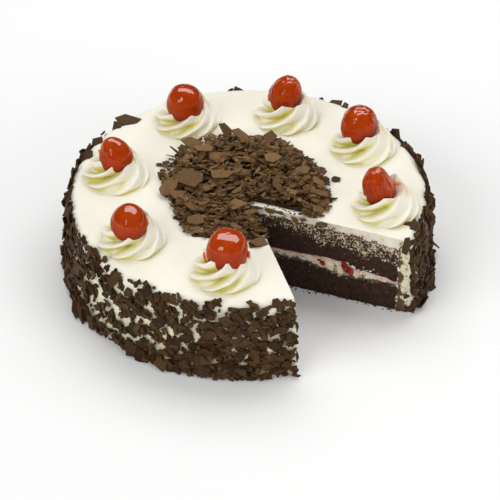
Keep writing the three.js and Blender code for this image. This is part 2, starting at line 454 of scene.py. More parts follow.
cream_layer = stand_up(outline(SPONGE_RADIUS, FILLING_CELL), 6, INNER_RINGS)
set_heights(cream_layer, lower_top, filling_top)
paint(cream_layer, "stained", stain)
paint(cream_layer, "crumbs", filling_crumbs)
tear(cream_layer, filling_relief)
show("cream_filling", cream_layer, filling_material(), "cream", "filling_cream")

preserve_layer = stand_up(outline(SPONGE_RADIUS, FILLING_CELL), 2, INNER_RINGS)
set_heights(preserve_layer, filling_top, upper_foot)
paint(preserve_layer, "milky", lambda p: (p.xy.length / MM - 38) / 26 + 0.6 * ripple(p, 6))
tear(preserve_layer, filling_relief)
show("preserve_filling", preserve_layer, preserve_material(), "preserve", "filling_cherry")

# ---- The cream cover -------------------------------------------------------------------
# Whipped cream spread over the whole cake with a palette knife: flat on top, rounded at the rim, and lumpy
# on the side, where it was pushed out between the flakes. It is one shell, cut through with the cake.

CREAM_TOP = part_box("cream_coat")[1].z
CREAM_FOOT_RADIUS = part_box("cream_coat")[1].y
CREAM_RIM_RADIUS = CREAM_FOOT_RADIUS - 1.5 * MM
RIM_ROUNDING = 5 * MM
TOP_SWELL = 0.35 * MM  # how deep the palette knife's swells are
TOP_DOME = 1.5 * MM  # how much higher the middle is than the rim
SIDE_LUMPS = 1.1 * MM
COVER_CELL = 1.0 * MM
COVER_ARC_CELL = 1.7 * MM
COVER_RINGS = (0.995, 0.99, 0.983, 0.976, 0.968, 0.96, 0.95, 0.94, 0.92, *(0.9 - 0.05 * i for i in range(17)))
CORE_SIDES, CORE_LEVELS = 260, 26
BARE_TOP = 34 * MM  # how far out from the tip the knife has swept the top beside the right cut


def cream_surface(x, y):
    """The top: nearly level, with the palette knife's faint swells, and rounded down at the rim."""
    radius = math.hypot(x, y)
    angle = math.atan2(y, x)
    strokes = noise.noise(Vector((radius / (7 * MM), angle * 1.5, 3)))
    swell = ripple(Vector((x, y, 0)), 34) + 0.5 * strokes
    height = CREAM_TOP + TOP_SWELL * swell - 0.3 * MM + TOP_DOME * (1 - (radius / CREAM_RIM_RADIUS) ** 2)
    over = radius - (CREAM_RIM_RADIUS - RIM_ROUNDING)
    if over > 0:
        height -= RIM_ROUNDING - math.sqrt(max(0, RIM_ROUNDING**2 - min(over, RIM_ROUNDING) ** 2))
    return height


def side_radius(angle, height):
    """The side of the cream, pushed out in lumps between the flakes."""
    share = height / CREAM_TOP
    plain = CREAM_FOOT_RADIUS + (CREAM_RIM_RADIUS - CREAM_FOOT_RADIUS) * share
    p = heading(angle) * CREAM_FOOT_RADIUS + Vector((0, 0, height))
    lumps = ripple(p, 7) + 0.5 * ripple(p, 3)
    return plain + SIDE_LUMPS * lumps * min(1, 2.5 * (1 - share))


def cover_body():
    """The cover as one solid block of cream, before the cake is taken out of it."""
    edge = outline(CREAM_RIM_RADIUS, COVER_CELL, COVER_ARC_CELL)
    bm = stand_up(edge, round(CREAM_TOP / COVER_CELL), COVER_RINGS)
    set_heights(bm, flat(0), cream_surface)
    for v in bm.verts:
        radius = v.co.xy.length
        if radius > CREAM_RIM_RADIUS - TOUCHING:
            v.co.xy *= side_radius(math.atan2(v.co.y, v.co.x), v.co.z) / radius
    return bm


def hollowed(bm):
    """Takes the room for the sponge and filling out of the cover, so that it is a shell."""
    circle = [SPONGE_RADIUS * heading(math.tau * i / CORE_SIDES).xy for i in range(CORE_SIDES)]
    core = stand_up(circle, CORE_LEVELS, [0.96 - 0.08 * i for i in range(12)])
    set_heights(core, flat(-MM), upper_top)
    wavy_rim(core)
    body, inside = as_object("cover_body", bm), as_object("cover_core", core)
    cut = body.modifiers.new("hollow", "BOOLEAN")
    cut.operation, cut.object, cut.solver = "DIFFERENCE", inside, "EXACT"
    shell = bmesh.new()
    shell.from_object(body, bpy.context.evaluated_depsgraph_get())
    for part in (body, inside):
        bpy.data.meshes.remove(part.data)
    return shell


def knife_drag(p):
    """The knife leaves upright streaks in cream, and tears it where it stands beyond the sponge."""
    roughness = 0.5 if p.xy.length * MM > SPONGE_RADIUS else 0.2
    streaks = 0.22 * noise.noise(Vector((p.x / 1.6, p.y / 1.6, p.z / 14)))
    return streaks + 0.25 * noise.noise(p / 6) + roughness * noise.noise(p / 2.2) - 0.05


def cream_material():
    """Whipped cream: almost white, satin, light passing a little way into it, with yellow painted shade in
    its folds.
    """
    made = new_material("whipped_cream", Roughness=0.42, Specular_IOR_Level=0.3, Subsurface_Weight=0.3,
                        Subsurface_Scale=2.0 * MM, Subsurface_Radius=(1.0, 0.85, 0.45))
    cream = ramp(made, speckle(made, 14 * MM), (0.3, (0.885, 0.845, 0.735)), (0.7, (0.90, 0.865, 0.765)))
    # painted shade: folds and the gaps between the flakes are painted yellow where shade falls
    shaded_and_stained = blend(made, stored(made, "painted_fold_shade"), cream, (0.74, 0.68, 0.19))
    shaded_and_stained = blend(made, stored(made, "juice"), shaded_and_stained, (0.74, 0.47, 0.14))
    shaded_and_stained = blend(made, stored(made, "smeared"), shaded_and_stained, (0.60, 0.50, 0.36))
    crumbs = crumb_specks(made, 1.3 * MM, 7.0, 0.6)
    wire(made, Base_Color=blend(made, crumbs, shaded_and_stained, (0.11, 0.055, 0.022)))
    wire(made, Normal=bump(made, speckle(made, 1.2 * MM, 4.0), 0.12 * MM, 0.5))
    return made


def beside_right_cut(p):
    """How far a point lies back from the right cut, and how far out along it."""
    from_tip = p.xy - TIP
    return -from_tip.dot(CUTS[0][1]), from_tip.dot(RIGHT_CUT)


def cover_crumbs(p):
    """Crumbs dragged over the cream: on the cut faces by the sponge, and on the top by the right cut."""
    cut = on_cut(p)
    if cut:
        to_sponge = max(p.z - upper_top(p.x, p.y), p.xy.length - SPONGE_RADIUS) / MM
        near_tip = max(0, 1 - cut[1] / BARE_TOP)
        side = 0.20 + 0.16 * max(0, 1 - p.z / (26 * MM)) if p.xy.length > SPONGE_RADIUS else 0
        return 0.22 + side + 0.36 * math.exp(-max(0, to_sponge) / 2.0) + 0.20 * near_tip + 0.34 * ripple(p, 4)
    back, out = beside_right_cut(p)
    if -MM < back < 5 * MM and 0 < out < BARE_TOP:
        return 0.46 * (1 - back / (8 * MM)) + 0.12 * ripple(p, 4)
    return 0


def cover_smears(p):
    """Where the knife went through, the sponge has stained the cream, most of all near the tip."""
    cut = on_cut(p)
    if not cut:
        return 0
    patchy = 0.3 * ripple(p, 4)
    if p.xy.length > SPONGE_RADIUS:
        return 0.34 + patchy
    return 0.75 - 0.45 * cut[1] / SPONGE_RADIUS + patchy


def cover_fold_shade(p):
    """Painted shade: the cream is painted yellower between the flakes on the side below the rim, and in
    patches on the cut faces there.
    """
    if on_cut(p):
        return 0.35 + 0.5 * ripple(p, 3) if p.xy.length > SPONGE_RADIUS else 0
    return 0.30 * clamp((CREAM_TOP - 4 * MM - p.z) / (6 * MM))


cover = hollowed(cover_body())
paint(cover, "crumbs", cover_crumbs)
paint(cover, "smeared", cover_smears)
paint(cover, "painted_fold_shade", cover_fold_shade)
tear(cover, knife_drag)
CREAM = cream_material()
show("cream_cover", cover, CREAM, "cream", "cream_coat", sharp=50)

# ---- The piped rosettes ----------------------------------------------------------------
# Stiffer whipped cream, pressed from a bag through a nozzle with seven teeth while the hand turns. The
# teeth leave sharp ridges that sweep up round the rosette, and each ends in a point where the nozzle was
# lifted off.

ROSETTE_RADIUS = 21.5 * MM
# one tooth, walking round counter-clockwise: how far across it, and how far out, from its groove (0) to its
# ridge (1). It rises steeply to the ridge, whose edge faces up, and falls away slowly under it to the next
# one.
TOOTH = (
    (0.0, 0.0), (0.04, 0.28), (0.08, 0.68), (0.12, 0.97), (0.17, 1.02), (0.25, 0.98), (0.34, 0.88),
    (0.44, 0.74), (0.54, 0.60), (0.65, 0.42), (0.76, 0.26), (0.87, 0.12), (0.95, 0.03),
)
TEETH = 7
ROSETTE_LEVELS = 30
MOUTH_LEVELS = 7  # past the points, the mouth goes down under the cherry
ROSETTE_TWIST = math.radians(110)
FOOT_TUCK = 0.12  # how much narrower the foot is than the swell above it
FOOT_GROOVE, MOUTH_GROOVE = 0.08, 0.50  # depth between two ridges, as a share of the radius
MOUTH_SHARE = 0.50  # the star's radius at the top, as a share of that at the foot
POINT_HEIGHT = 4.6 * MM  # how far the ridges' ends stand above the grooves between them
SMOOTHED_SIDE = math.radians(8)  # the hand came off on this side, and left its ridges shallower
HIGH_SIDE = math.radians(103)  # the points stand highest on this side
SMOOTHED_RISE, HIGH_RISE = 1.2 * MM, 3.4 * MM  # how much higher the mouth is on those sides
HAND_WANDER = 0.45 * MM  # how far the ribbons stray from a perfect star
noise.seed_set(1)  # noise_vector would otherwise differ from run to run
TURNS = (7, 25, -2, -13, 9, -25, 20)  # how far round each star stands, in degrees
# where each cherry's juice has run into the cream: its direction in degrees, and how strongly
JUICE = ((15, 0.5), (5, 0.45), (13, 0.5), (20, 0.4), (10, 0.25), (10, 0.1), (200, 0.3))
JUICE_OUT, JUICE_HEIGHT = 12.5, 15  # how far out from a star's middle and how high it gathers, in mm
JUICE_SPREAD = 6 * MM
# rays that meet cream nearer than this count a point as shut in, for the painted fold shade
SHADE_REACH = 8 * MM  # cream that is nearer than this shuts a fold in
WAYS = [Vector([random.Random(3 * i + j).gauss(0, 1) for j in range(3)]).normalized() for i in range(24)]


def juice_at(p, number):
    """How much juice has stained the cream at a point of a rosette standing at the origin."""
    direction, strength = JUICE[number - 1]
    turn = math.radians(direction)
    spot = MM * Vector((JUICE_OUT * math.cos(turn), JUICE_OUT * math.sin(turn), JUICE_HEIGHT))
    return strength * max(0, 1 - (p - spot).length / JUICE_SPREAD)


def occluded_share(around, v):
    """How far a point of a rosette lies in a fold: the share of the ways out that meet cream close by, which
    sets its painted shade.
    """
    met = 0
    for way in WAYS:
        ray = (v.normal + 0.9 * way).normalized()
        on_cake = ray.z < 0 and v.co.z < -ray.z * SHADE_REACH
        met += on_cake or around.ray_cast(v.co + v.normal * 0.3 * MM, ray, SHADE_REACH)[0] is not None
    return met / len(WAYS)


def piped(centre, height, turn, seed):
    """One rosette: rings that grow up from the foot, turn with the hand, and sink into the mouth."""
    bm = bmesh.new()
    layers = bm.verts.layers.float
    for name in ("painted_fold_shade", "juice"):
        layers.new(name)
    painted_fold_shade, juice = layers["painted_fold_shade"], layers["juice"]
    bmesh.ops.create_circle(bm, cap_ends=True, radius=1, segments=TEETH * len(TOOTH))
    ring, edges = bm.verts[:], bm.edges[:]
    rings = []
    for level in range(ROSETTE_LEVELS + MOUTH_LEVELS + 1):
        if level:
            ring, edges = grow(bm, edges)
        rings.append(sorted(ring, key=lambda v: math.atan2(v.co.y, v.co.x) % math.tau))
    strays = [noise.noise(Vector((tooth * 3.7, seed * 5.1, 0))) for tooth in range(TEETH)]
    for level, ring in enumerate(rings):
        up = min(1, level / ROSETTE_LEVELS)
        sink = max(0, level - ROSETTE_LEVELS) / MOUTH_LEVELS
        bulge = 1 - FOOT_TUCK + FOOT_TUCK * math.sin(min(1, up / 0.3) * math.pi / 2)
        out = ROSETTE_RADIUS * bulge * (1 - (1 - MOUTH_SHARE) * up**1.7) * (1 - 0.75 * sink)
        groove = (FOOT_GROOVE + (MOUTH_GROOVE - FOOT_GROOVE) * min(1, 3 * up)) * (1 - sink)
        for number, v in enumerate(ring):
            tooth, step = divmod(number, len(TOOTH))
            across, crest = TOOTH[step]
            uneven = 0.6 * strays[tooth] * (1 - across) + 0.6 * strays[(tooth + 1) % TEETH] * across
            lean = -0.10 * crest * min(1, 3 * up)
            angle = (tooth + across + lean) / TEETH * math.tau + turn + ROSETTE_TWIST * up
            angle += 0.45 * uneven * (1 - 0.6 * up)
            smoothed = clamp(0.1 + math.cos(angle - SMOOTHED_SIDE))
            depth = groove * (1 - 0.8 * smoothed)
            far = out * (1 - depth * (1 - crest)) * (1 + 0.10 * uneven)
            point = POINT_HEIGHT * (crest - 0.35) * (1 - 0.85 * smoothed**2)
            rise = height * up + point * up**3 * (1 - sink) ** 1.5 * (1 + 0.8 * uneven) - 0.5 * height * sink
            behind = max(0, 0.25 + 0.75 * math.cos(angle - HIGH_SIDE))
            rise += (SMOOTHED_RISE * smoothed + HIGH_RISE * behind * (1 - sink) ** 1.5) * up**3
            v.co = Vector((far * math.cos(angle), far * math.sin(angle), rise - 0.2 * MM))
            v.co += HAND_WANDER * noise.noise_vector(v.co / (6 * MM) + Vector((seed, 0, 0)))
            v[juice] = juice_at(v.co, seed)
    bmesh.ops.contextual_create(bm, geom=edges)
    bmesh.ops.recalc_face_normals(bm, faces=bm.faces)
    bm.normal_update()
    around = BVHTree.FromBMesh(bm)
    # painted shade: the more shut in a point is, the yellower its cream is painted
    for v in bm.verts:
        closed = occluded_share(around, v)
        v[painted_fold_shade] = min(1, 0.35 * closed + 4.0 * max(0, closed - 0.40))
    bmesh.ops.translate(bm, vec=centre, verts=bm.verts)
    return bm


for number, turn in enumerate(TURNS, 1):
    low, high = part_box(f"rosette_{number}")
    centre = ((low + high) / 2).xy.to_3d() + Vector((0, 0, low.z))
    bm = piped(centre, high.z - low.z - 0.8 * MM, math.radians(turn), number)
    show(f"piped_rosette_{number}", bm, CREAM, "cream", f"rosette_{number}", sharp=70)

# ---- The cherries ----------------------------------------------------------------------
# Preserved cherries, stoned and glazed: soft, slightly shrunken fruit with a wet skin, a small dimple where
# the stalk was, and faint creases down their sides. Each was pressed into its rosette, and leans a little.

# how far each leans in degrees and which way, how long it is for its width, how deep its lengthwise creases
# and its wrinkles are, how much narrower its top is, how square it is, and how far it sticks out at its
# lower right, where the stone was pushed out
CHERRIES = (
    (14, 193, 1.1, 1.7, 0.5, 0.0, 0.35, 0.32),
    (20, 13, 1.15, 0.4, 0.9, 0.05, 0.3, 0.05),
    (28, 13, 1.3, 0.3, 1.3, 0.16, 0.1, 0.0),
    (9, 193, 1.05, 0.2, 0.1, 0.04, 0.3, 0.0),
    (20, 193, 1.1, 0.2, 0.1, 0.20, 0.0, 0.10),
    (3, 193, 1.0, 0.1, 0.05, 0.04, 0.1, 0.0),
    (4, 13, 1.0, 0.1, 0.05, -0.02, 0.6, 0.08),
)
SWELL = Vector((0.4, 0.4, 0.3)) * MM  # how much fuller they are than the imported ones
BEAK_WAY = (heading(math.radians(8)) - Vector((0, 0, 0.5))).normalized()
CREASE_DEPTH, WRINKLE_DEPTH, BODY_WANDER = 0.05, 0.028, 0.07  # as shares of a cherry's radius
DENT, SHOULDER = 0.02, 0.03  # the stalk's dimple, and the wide hollow round it


def cherry(low, high, lean, towards, long, crease, wrinkle, taper, square, beak, seed):
    """One cherry: a ball pinched, creased and tipped over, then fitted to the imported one's box."""
    bm = bmesh.new()
    bmesh.ops.create_uvsphere(bm, u_segments=120, v_segments=72, radius=1)
    for v in bm.verts:
        p = v.co.copy()
        power = 2 + square
        p /= sum(abs(c) ** power for c in p) ** (1 / power)
        angle, slope = math.atan2(p.y, p.x), math.hypot(p.x, p.y)
        hollow = 0
        if p.z > 0:
            hollow = DENT * math.exp(-((slope / 0.03) ** 2)) + SHOULDER * math.exp(-((slope / 0.4) ** 2))
        creased = noise.noise(heading(angle) * 6 + Vector((0, 0, p.z * 0.7 + seed * 3.3))) * slope**2
        folds = crease * CREASE_DEPTH * creased
        folds += wrinkle * WRINKLE_DEPTH * noise.noise(p * 5 + Vector((seed * 3, 0, 0)))
        body = BODY_WANDER * noise.noise(p * 0.9 + Vector((seed * 7, 0, 0)))
        size = 1 + body + folds + beak * max(0, p.dot(BEAK_WAY)) ** 7
        narrow = (1 - taper * p.z) * size
        v.co = Vector((p.x * narrow, p.y * narrow, (p.z * size - hollow) * long))
    axis = Vector((-math.sin(towards), math.cos(towards), 0))
    bmesh.ops.rotate(bm, matrix=Matrix.Rotation(lean, 3, axis), verts=bm.verts)
    least = Vector([min(v.co[i] for v in bm.verts) for i in range(3)])
    most = Vector([max(v.co[i] for v in bm.verts) for i in range(3)])
    room = high - low + 2 * SWELL
    scale = Vector([room[i] / (most[i] - least[i]) for i in range(3)])
    bmesh.ops.translate(bm, vec=-(least + most) / 2, verts=bm.verts)
    bmesh.ops.scale(bm, vec=scale, verts=bm.verts)
    bmesh.ops.translate(bm, vec=(low + high) / 2 + Vector((0, 0, 0.3 * MM)), verts=bm.verts)
    bmesh.ops.recalc_face_normals(bm, faces=bm.faces)
    bm.normal_update()
    # the glaze is thickest on top, and the skin's underside is darkened with painted shade
    glaze, painted_underside_shade = (bm.verts.layers.float.new(name) for name in ("glaze", "painted_underside_shade"))
    for v in bm.verts:
        v[glaze] = clamp(max(0.12, 2.6 * (v.normal.z - 0.22)))
        v[painted_underside_shade] = clamp(0.35 - v.normal.z)
    return bm


def cherry_material():
    """Wet skin over red flesh: glaze on it, light passing into the fruit, darker blotches, and painted shade
    on its underside.
    """
    made = new_material("glazed_cherry", Roughness=0.35, Specular_IOR_Level=0.03, Coat_Roughness=0.04,
                        Coat_IOR=2.1, Subsurface_Weight=0.15, Subsurface_Scale=3 * MM,
                        Subsurface_Radius=(1.0, 0.25, 0.1))
    skin = ramp(made, speckle(made, 6 * MM), (0.3, (0.36, 0.030, 0.002)), (0.7, (0.49, 0.058, 0.004)))
    # painted shade: the skin is painted darker where it faces down
    skin = blend(made, stored(made, "painted_underside_shade"), skin, (0.20, 0.014, 0.001))
    wire(made, Base_Color=skin, Coat_Weight=stored(made, "glaze"))
    wire(made, Normal=bump(made, speckle(made, 2.5 * MM), 0.06 * MM, 0.6))
    return made


CHERRY = cherry_material()
for number, (lean, towards, *shape) in enumerate(CHERRIES, 1):
    low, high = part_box(f"cherry_{number}")
    bm = cherry(low, high, math.radians(lean), math.radians(towards), *shape, number)
    show(f"glazed_cherry_{number}", bm, CHERRY, "cherry", f"cherry_{number}")

# beads of juice and torn skin where four of them were pressed in: which cherry, then how far to its right,
# behind it and above its middle, then length across, depth and height, all in mm
JUICE_BEADS = (
    (7, -13.2, 0, -4, 2.0, 2.4, 5.5), (7, -12.4, 0, -7.5, 1.8, 2, 3.4), (7, 12.6, 0, -4, 1.8, 2.4, 6),
    (1, 11.0, 3, -0.6, 4.2, 2, 1.3), (3, 10.0, 2, -1.0, 1.0, 1.6, 3.5), (4, 1.5, -8.5, -5.5, 3.0, 1.4, 1.6),
)
ACROSS = math.radians(13)  # the way that the beads' rights, and most of the shavings, run
RIGHTWARDS = heading(ACROSS)


def add_part(bm, part, where):
    """Moves a small part to its place in the piece that holds them all."""
    mesh = bpy.data.meshes.new("part")
    part.transform(where)
    part.to_mesh(mesh)
    part.free()
    bm.from_mesh(mesh)
    bpy.data.meshes.remove(mesh)


beads = bmesh.new()
for number, right, behind, above, *size in JUICE_BEADS:
    low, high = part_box(f"cherry_{number}")
    middle = (low + high) / 2 + MM * RIGHTWARDS * right
    middle += MM * (Vector((-RIGHTWARDS.y, RIGHTWARDS.x, 0)) * behind + Vector((0, 0, above)))
    shape = Matrix.Rotation(ACROSS, 4, "Z") @ Matrix.Diagonal((*(Vector(size) * MM / 2), 1))
    bead = bmesh.new()
    bmesh.ops.create_icosphere(bead, subdivisions=3, radius=1)
    for v in bead.verts:
        v.co *= 1 + 0.3 * noise.noise(v.co * 1.5 + Vector((number, right, 0)))
    add_part(beads, bead, Matrix.Translation(middle) @ shape)
JUICE_RED = new_material("cherry_juice", Base_Color=(0.78, 0.13, 0.014, 1), Roughness=0.2,
                         Subsurface_Weight=0.3, Subsurface_Scale=1.5 * MM)
show("cherry_juice", beads, JUICE_RED, "cherry")

# ---- The flakes on the side ------------------------------------------------------------
# Flakes broken from thin sheets of dark chocolate, pressed by the handful into the cream of the side. Most
# lie flat, some stand out, and the cream shows through the gaps between them. At the back they end below
# the rim.

FLAKES_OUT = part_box("flake_coat")[1].y + 3 * MM  # how far out the flakes' tips may stand
FLAKE_COUNT = 4700
SMALL_FLAKES, LARGE_FLAKES = (2, 5.6), (5.6, 10.5)  # how long they are, in mm
SMALL_SHARE = 0.78
FLAKE_TILT = math.radians(18)  # how far they commonly stand off the side
BARE_SHARE = 0.95  # how few flakes lie in the gaps
FULL_FOOT, GATHERED = 7 * MM, 20 * MM  # below these there are no gaps, and the flakes lie thicker
DUSTINESS = 0.35
THIN_SIDE = heading(math.radians(238))  # where most of the cream shows
LOW_SIDE = heading(math.radians(103))  # where they end below the rim


def chip(rng, length, width, thickness, curl):
    """One broken flake at the origin: a thin plate, a little curled, with four to six ragged corners."""
    bm = bmesh.new()
    corners = rng.choice((4, 4, 4, 5, 5, 6))
    bmesh.ops.create_circle(bm, cap_ends=True, radius=0.5, segments=corners)
    for v in bm.verts:
        ragged = Matrix.Rotation(math.pi / 4 + rng.uniform(-0.3, 0.3), 3, "Z")
        v.co = ragged @ v.co * rng.uniform(0.85, 1.4)
        v.co = Vector((v.co.x * length, v.co.y * width, rng.uniform(-curl, curl)))
    bmesh.ops.solidify(bm, geom=bm.faces[:], thickness=thickness)
    bmesh.ops.recalc_face_normals(bm, faces=bm.faces)
    return bm


def add_chip(bm, flake, where, tone_and_painted_shade):
    """Puts one flake into the piece that holds them all, with its own tone, which on the heap is also painted
    shade.
    """
    before = len(bm.verts)
    add_part(bm, flake, where)
    bm.verts.ensure_lookup_table()
    layer = bm.verts.layers.float["tone_and_painted_shade"]
    for v in bm.verts[before:]:
        v[layer] = tone_and_painted_shade


def inside_cuts(point, room):
    """True where a point lies outside the gap, at least that far behind one of its cuts."""
    from_tip = point.xy - TIP
    return any(from_tip.dot(into_gap) < -room for _, into_gap in CUTS)


def facing(normal, spin, tilt, lean_way):
    """A turn that lays a flake against a surface, spun about its normal and tipped off it."""
    flat_turn = normal.to_track_quat("Z", "Y").to_matrix()
    return flat_turn @ Matrix.Rotation(tilt, 3, heading(lean_way)) @ Matrix.Rotation(spin, 3, "Z")


def chocolate_material(name, dark, light, dust):
    """Dark chocolate: dull where it was broken, satin where it was smooth, each flake in its own tone, and
    the heap's deeper shavings in painted shade.
    """
    made = new_material(name, Roughness=0.5, Specular_IOR_Level=0.18)
    tone_and_painted_shade = blend(made, stored(made, "tone_and_painted_shade"), dark, light)
    scuffs = ramp(made, speckle(made, 1.6 * MM, 4.0, 0.7, (1, 1, 0.4)), (0.5, 0.0), (0.75, 1.0))
    wire(made, Base_Color=blend(made, maths(made, "MULTIPLY", scuffs, DUSTINESS), tone_and_painted_shade, dust))
    wire(made, Roughness=ramp(made, speckle(made, 2.5 * MM), (0.3, 0.42), (0.7, 0.68)))
    wire(made, Normal=bump(made, speckle(made, 0.9 * MM, 4.0, 0.7), 0.18 * MM, 0.8))
    return made


def flaked_side():
    """The flakes as they were pressed on: thinly in patches, and lying over the rim where they reach it."""
    rng = random.Random(11)
    bm = bmesh.new()
    bm.verts.layers.float.new("tone_and_painted_shade")
    placed = 0
    while placed < FLAKE_COUNT:
        angle = rng.uniform(0, math.tau)
        height = rng.uniform(1.5 * MM, CREAM_TOP + 1 * MM)
        outward = heading(angle)
        low_back = clamp(4 * (outward.dot(LOW_SIDE) - 0.42))
        fringe = CREAM_TOP - (1 + 7.5 * low_back) * MM + 5 * MM * noise.noise(outward * 9)
        if height > fringe and rng.random() < 0.8 + 0.18 * low_back:
            continue
        size = rng.uniform(*(SMALL_FLAKES if rng.random() < SMALL_SHARE else LARGE_FLAKES)) * MM
        if not inside_cuts(outward * CREAM_FOOT_RADIUS, 0.12 * size):
            continue
        least = 0.14 - 0.24 * max(0, outward.dot(THIN_SIDE)) ** 8
        thin = noise.noise(outward * 46 + Vector((0, 0, height / (2.5 * MM)))) > least
        if height > FULL_FOOT and thin and rng.random() < BARE_SHARE:
            continue
        tilt = abs(rng.gauss(0, FLAKE_TILT))
        over_rim = max(0, height - (CREAM_TOP - RIM_ROUNDING)) / RIM_ROUNDING
        normal = (outward + Vector((0, 0, 1)) * min(1, over_rim) * rng.uniform(0, 1)).normalized()
        lift = rng.uniform(0.3, 2.2) * MM + 0.3 * size * math.sin(tilt) - 1.5 * MM * over_rim
        lift += 2.2 * MM * max(0, 1 - height / GATHERED)
        centre = outward * (side_radius(angle, min(height, CREAM_TOP)) + lift) + Vector((0, 0, height))
        centre.z = max(centre.z, 0.42 * size)
        turn = facing(normal, rng.uniform(0, math.tau), tilt, rng.uniform(0, math.tau))
        flake = chip(rng, size, size * rng.uniform(0.35, 0.95), rng.uniform(0.7, 1.2) * MM, 0.05 * size)
        add_chip(bm, flake, Matrix.Translation(centre) @ turn.to_4x4(), rng.random())
        placed += 1
    for v in bm.verts:
        v.co.z = max(v.co.z, 0.1 * MM)
        far = v.co.xy.length
        if far > FLAKES_OUT:
            v.co.xy *= FLAKES_OUT / far
    return bm


SIDE_CHOCOLATE = chocolate_material("side_chocolate", dark=(0.026, 0.012, 0.004), light=(0.090, 0.045, 0.016),
                                    dust=(0.17, 0.10, 0.042))
show("side_flakes", flaked_side(), SIDE_CHOCOLATE, "chocolate", "flake_coat", sharp=30)

# ---- The heap of shavings --------------------------------------------------------------
# Shavings scraped from a bar of chocolate and strewn in the middle of the top. They lie loosely on one
# another, with dark hollows between that painted shade on the buried shavings and the core deepens, and are
# paler than the flakes on the side, with a dusty bloom.

# how many there are of each size, the finest first: how long they are in mm, how wide for their length, how
# steeply they lie in degrees, how far out they lie as a share of the heap, and how pale they are, which is
# None where they are paler the less they are buried, a painted shade that darkens the deeper ones
SHAVING_KINDS = (
    (1600, (2.6, 5.5), (0.2, 0.5), 26, 0.97, None), (430, (5, 9), (0.25, 0.6), 17, 0.97, None),
    (12, (9, 13), (0.5, 0.8), 8, 0.93, (0.4, 0.8)),
)
# the largest ones: where they lie from the middle in mm, length and width in mm, slope and the way it runs
# in degrees, and how pale they are
BIG_SHAVINGS = (
    (-35, -4, 18, 16, 6, 100, 0.45), (-17, 1, 14, 12, 8, 60, 0.75), (-1.5, -23.5, 12, 9, 4, 0, 0.8),
    (-42, 33, 14, 9, 14, 200, 0.6), (-33, 27, 12, 9, 10, 30, 0.85), (-24, 22, 13, 10, 12, 300, 0.75),
    (-46, -14, 13, 10, 16, 150, 0.6), (-38, -19, 12, 9, 12, 220, 0.6), (-14, 46, 15, 8, 22, 250, 0.6),
    (-25, 50, 12, 9, 35, 280, 0.3), (3, 48, 12, 7, 30, 250, 0.35), (-4, 8, 9, 7, 14, 40, 0.5),
    (10, 25, 11, 6, 14, 200, 0.8), (28, 20, 10, 6, 18, 120, 0.7), (44, 2, 10, 8, 16, 310, 0.7),
    (18, -49, 12, 7, 10, 290, 0.6), (-22, -40, 11, 8, 14, 260, 0.55), (46, -14, 9, 7, 20, 300, 0.6),
)
# how far the heap reaches from the middle every 15 degrees, counter-clockwise from the x axis, in mm
HEAP_EDGE = (51, 50, 49, 48, 50, 53, 55, 54, 59, 61, 61, 59, 56, 53, 50, 52, 56, 54, 52, 50, 50, 50, 50, 55)
# those that hang over the right cut's edge: how far out from the tip and how far down, then length and
# width, in mm
HANGING_SHAVINGS = (
    (1.5, 1.5, 8, 5), (5, -0.5, 6, 4), (12.5, -0.8, 6, 4), (16, 0, 7, 4.5), (19.5, -0.6, 6, 4),
    (29, 2.2, 8, 4), (34, 0.6, 5, 3),
)
HANGING_TILT = math.radians(72)
HEAP_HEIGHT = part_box("shavings_heap")[1].z - CREAM_TOP
CORE_SHARE = (0.86, 0.86, 0.38)  # the core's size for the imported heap's


def heap_reach(angle):
    step, share = divmod(math.degrees(angle) % 360 / 15, 1)
    before, after = HEAP_EDGE[int(step)], HEAP_EDGE[(int(step) + 1) % len(HEAP_EDGE)]
    return (before * (1 - share) + after * share) * MM


def heap_top(x, y):
    """How high the heap stands: a low mound with hollows in it and a steep ragged edge."""
    share = math.hypot(x, y) / heap_reach(math.atan2(y, x))
    hollow = 0.75 + 0.5 * ripple(Vector((x, y, 0)), 11)
    return HEAP_HEIGHT * max(0, 1 - share**2.5) ** 0.6 * hollow


def heap_core():
    """What lies under the loose shavings: the heap's own shape, a little smaller, as a lumpy mass in the
    darkest tone, painted shade for the hollows.
    """
    bm = bmesh.new()
    bm.from_mesh(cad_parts["shavings_heap"].data)
    bmesh.ops.remove_doubles(bm, verts=bm.verts, dist=0.001 * MM)
    foot = Vector((-14 * MM, 14 * MM, CREAM_TOP))
    bmesh.ops.subdivide_edges(bm, edges=bm.edges, cuts=1, use_grid_fill=True)
    bmesh.ops.scale(bm, vec=CORE_SHARE, space=Matrix.Translation(-foot), verts=bm.verts)
    # painted shade: the core is given the darkest tone
    layer = bm.verts.layers.float.new("tone_and_painted_shade")
    for v in bm.verts:
        v[layer] = 0
        if v.co.z > CREAM_TOP + MM:
            v.co += 0.6 * MM * noise.noise_vector(v.co / (4 * MM))
    bmesh.ops.recalc_face_normals(bm, faces=bm.faces)
    return bm


def lay_shaving(bm, rng, spot, rise, length, width, tilt, lean_way, tone_and_painted_shade):
    """Lays one shaving at a spot, that far above the cream. Most lie much the same way round."""
    turn = facing(Vector((0, 0, 1)), ACROSS + rng.gauss(0, 0.6), tilt, lean_way)
    flake = chip(rng, length, width, rng.uniform(0.45, 0.9) * MM, 0.05 * length)
    lifted = CREAM_TOP + rise + 0.25 * length * math.sin(tilt)
    add_chip(bm, flake, Matrix.Translation((spot.x, spot.y, lifted)) @ turn.to_4x4(), tone_and_painted_shade)


def swept_bare(spot, length):
    """The knife swept the shavings off the top beside the right cut, near the middle."""
    back, out = beside_right_cut(spot)
    strip = 3.4 * MM + 0.4 * length + 2 * MM * ripple(spot, 6)
    return -2 * MM < out < 31 * MM and abs(back) < strip * min(1, 0.35 + out / (9 * MM))


